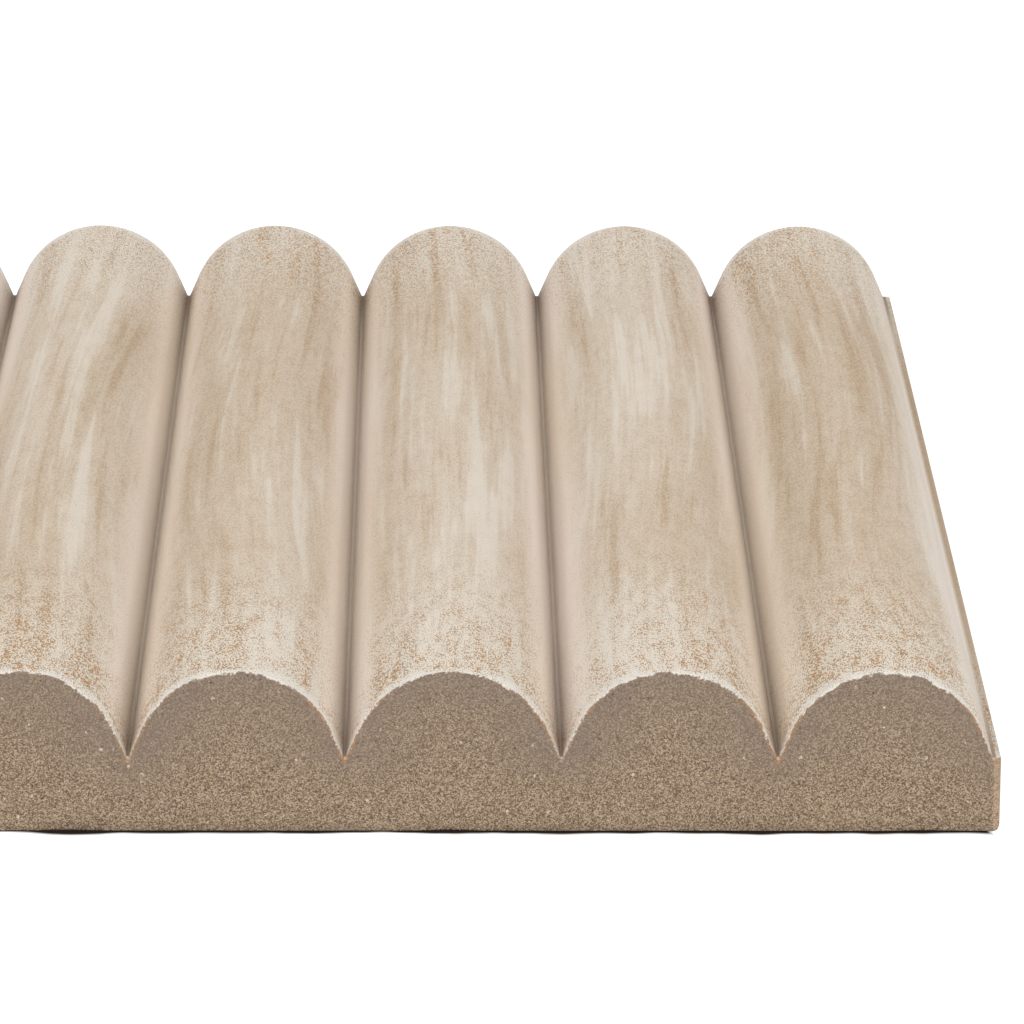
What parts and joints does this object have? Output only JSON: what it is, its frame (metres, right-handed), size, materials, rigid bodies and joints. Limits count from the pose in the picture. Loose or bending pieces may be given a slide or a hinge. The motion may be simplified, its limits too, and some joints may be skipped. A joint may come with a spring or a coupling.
{
  "type": "fluted porcelain wall tile",
  "caption": "Rectangular porcelain wall tile with half-round flutes side by side on its glazed face, narrow grooves between them and a flat keyed back.",
  "frame": {"origin": "middle of the bed face, on the plane the tile lies on", "axes": "+X across the flutes, +Y along the flutes, +Z from the bed face to the glazed face"},
  "size_m": [0.2988, 0.149, 0.0145],
  "materials": {
    "porcelain": "matt printed glaze on the fluted face, bare fired body on the back and edges"
  },
  "bodies": {
    "root": {"fluted_tile": "porcelain"}
  },
  "joints": []
}
